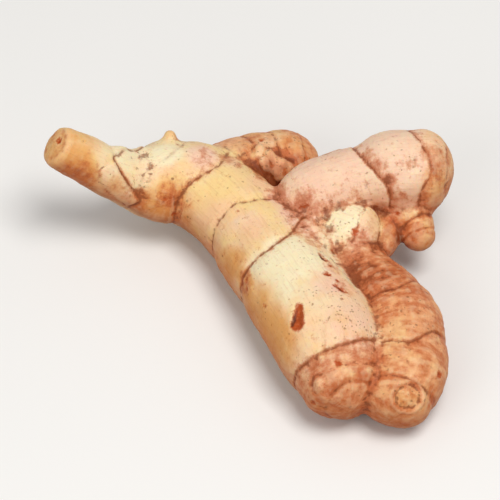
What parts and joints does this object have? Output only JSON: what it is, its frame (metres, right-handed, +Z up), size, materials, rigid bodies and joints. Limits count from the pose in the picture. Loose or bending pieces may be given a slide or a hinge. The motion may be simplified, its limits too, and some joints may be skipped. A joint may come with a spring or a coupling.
{
  "type": "white turmeric rhizome",
  "caption": "Fresh branched rhizome lying on a surface: a thick ringed finger with a slender tip, a pink side branch, a russet lobe behind it and an old brown lobe beside its foot.",
  "frame": {"origin": "middle of the bounding box's underside, on the surface that the hand rests on", "axes": "+X from the slender tip to the pink branch's end, +Y from the foot of the hand to the russet lobe behind, +Z up"},
  "size_m": [0.1303, 0.119, 0.0474],
  "materials": {
    "skin": "fresh damp rhizome skin, satin, cream to yellow with pink and russet parts"
  },
  "bodies": {
    "root": {"rhizome": "skin"}
  },
  "joints": []
}
